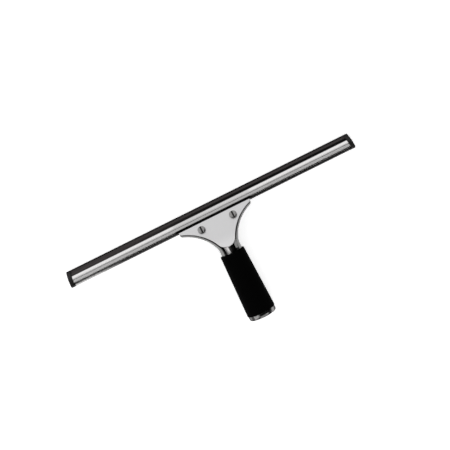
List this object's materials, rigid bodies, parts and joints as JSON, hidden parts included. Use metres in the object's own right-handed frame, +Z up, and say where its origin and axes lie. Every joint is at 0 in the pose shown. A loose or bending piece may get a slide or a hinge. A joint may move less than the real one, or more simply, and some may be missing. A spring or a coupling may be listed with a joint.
{
  "type": "window squeegee",
  "caption": "Window squeegee: rubber strip in a rolled steel channel, clamped by a two-jaw steel handle with a rubber grip and pole socket.",
  "frame": {"origin": "centre of the bounding box at floor level, with the squeegee lying front up on its wiping edge and on the lower edge of its grip", "axes": "+X along the blade to the right, +Y towards the wiping edge, +Z up, out of the floor"},
  "size_m": [0.35, 0.1392, 0.0346],
  "materials": {
    "channel_steel": "bright rolled stainless strip",
    "plate_steel": "satin stainless sheet",
    "shell_steel": "satin pressed stainless sheet",
    "screw_steel": "bright slotted steel screw",
    "nut_steel": "plain steel weld nut",
    "tube_steel": "polished steel tube",
    "ring_chrome": "bright chromed ring",
    "blade_rubber": "smooth black squeegee rubber",
    "cap_plastic": "moulded black plastic",
    "grip_rubber": "matte black grip rubber",
    "liner_plastic": "moulded dark plastic"
  },
  "bodies": {
    "handle": {"rear_shell": "shell_steel", "clamp_nut_left": "nut_steel", "clamp_nut_right": "nut_steel", "socket_tube": "tube_steel", "socket_liner": "liner_plastic", "grip_sleeve": "grip_rubber", "end_ring": "ring_chrome"},
    "cover": {"cover_plate": "plate_steel"},
    "screw_left": {"clamp_screw_left": "screw_steel"},
    "screw_right": {"clamp_screw_right": "screw_steel"},
    "blade": {"channel": "channel_steel"},
    "rubber": {"rubber_blade": "blade_rubber"},
    "cap_left": {"end_cap_left": "cap_plastic"},
    "cap_right": {"end_cap_right": "cap_plastic"}
  },
  "joints": [
    {"name": "cover_lift", "type": "slide", "parent": "handle", "child": "cover", "axis": [0, 0.4322, 0.9018], "range_m": [0, 0.0022]},
    {"name": "screw_left_turn", "type": "hinge", "parent": "cover", "child": "screw_left", "pos_m": [-0.0192, 0.04458, 0.01633], "axis": [0, 0.4322, 0.9018], "range_deg": [0, 990]},
    {"name": "screw_right_turn", "type": "hinge", "parent": "cover", "child": "screw_right", "pos_m": [0.0192, 0.04458, 0.01633], "axis": [0, 0.4322, 0.9018], "range_deg": [0, 990]},
    {"name": "blade_shift", "type": "slide", "parent": "handle", "child": "blade", "axis": [1, 0, 0], "range_m": [-0.1, 0.1]},
    {"name": "rubber_draw", "type": "slide", "parent": "blade", "child": "rubber", "axis": [1, 0, 0], "range_m": [-0.34, 0.34]},
    {"name": "cap_left_pull", "type": "slide", "parent": "blade", "child": "cap_left", "axis": [-1, 0, 0], "range_m": [0, 0.015]},
    {"name": "cap_right_pull", "type": "slide", "parent": "blade", "child": "cap_right", "axis": [1, 0, 0], "range_m": [0, 0.015]}
  ],
  "couplings": [
    {"joint": "screw_left_turn", "follows": "cover_lift", "rad_per_m": 7854},
    {"joint": "screw_right_turn", "follows": "cover_lift", "rad_per_m": 7854}
  ]
}
